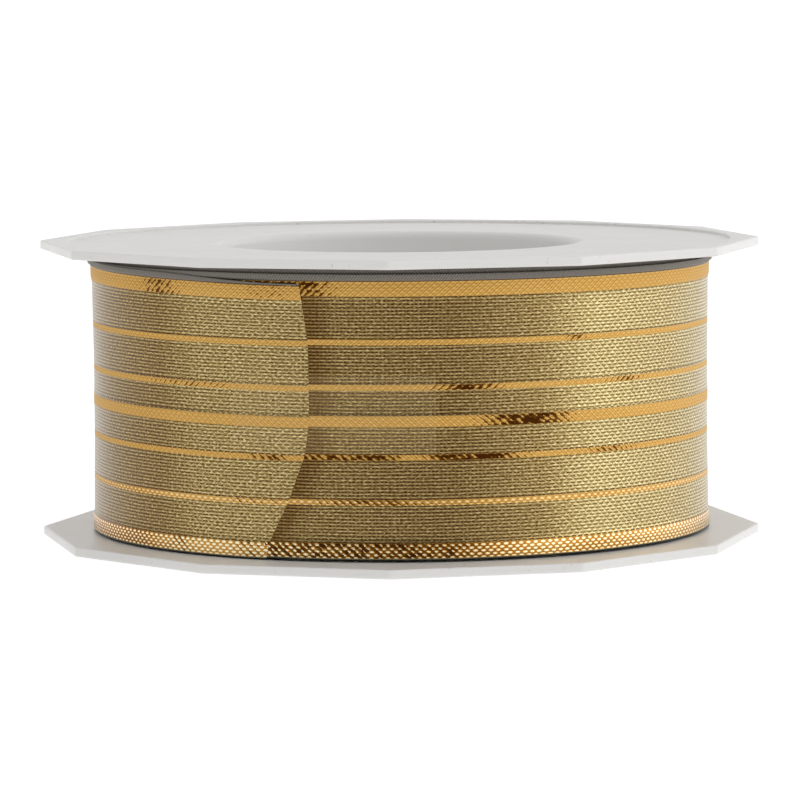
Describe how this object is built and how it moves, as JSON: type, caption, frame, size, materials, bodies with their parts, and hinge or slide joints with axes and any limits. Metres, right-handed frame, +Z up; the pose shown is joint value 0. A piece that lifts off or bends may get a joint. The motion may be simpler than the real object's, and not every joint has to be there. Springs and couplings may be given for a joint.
{
  "type": "ribbon spool",
  "caption": "Twelve-sided white spool in two halves, wound with wide gold striped ribbon whose free end is held by clear tape.",
  "frame": {"origin": "centre of the bottom face, on the core's axis", "axes": "+Z up the core's axis; -Y is the front, where the ribbon's cut end lies; flange corners lie on the X and Y axes"},
  "size_m": [0.1034, 0.1034, 0.0428],
  "materials": {
    "spool_plastic": "white polystyrene, lightly polished",
    "gold_ribbon": "woven metallic gold thread with brighter lengthwise stripes",
    "clear_tape": "clear adhesive film",
    "white_tape": "matt tissue"
  },
  "bodies": {
    "lower_half": {"lower_half_spool": "spool_plastic", "ribbon_roll": "gold_ribbon", "ribbon_outer_turn": "gold_ribbon", "start_tape": "white_tape"},
    "upper_half": {"upper_half_spool": "spool_plastic"},
    "free_end": {"ribbon_end": "gold_ribbon", "closing_tape": "clear_tape"}
  },
  "joints": [
    {"name": "halves_pull_apart", "type": "slide", "parent": "lower_half", "child": "upper_half", "axis": [0, 0, 1], "range_m": [0, 0.03]},
    {"name": "end_peel", "type": "hinge", "parent": "lower_half", "child": "free_end", "pos_m": [-0.0426, -0.01178, 0.0214], "axis": [0, 0, -1], "range_deg": [0, 85]}
  ]
}
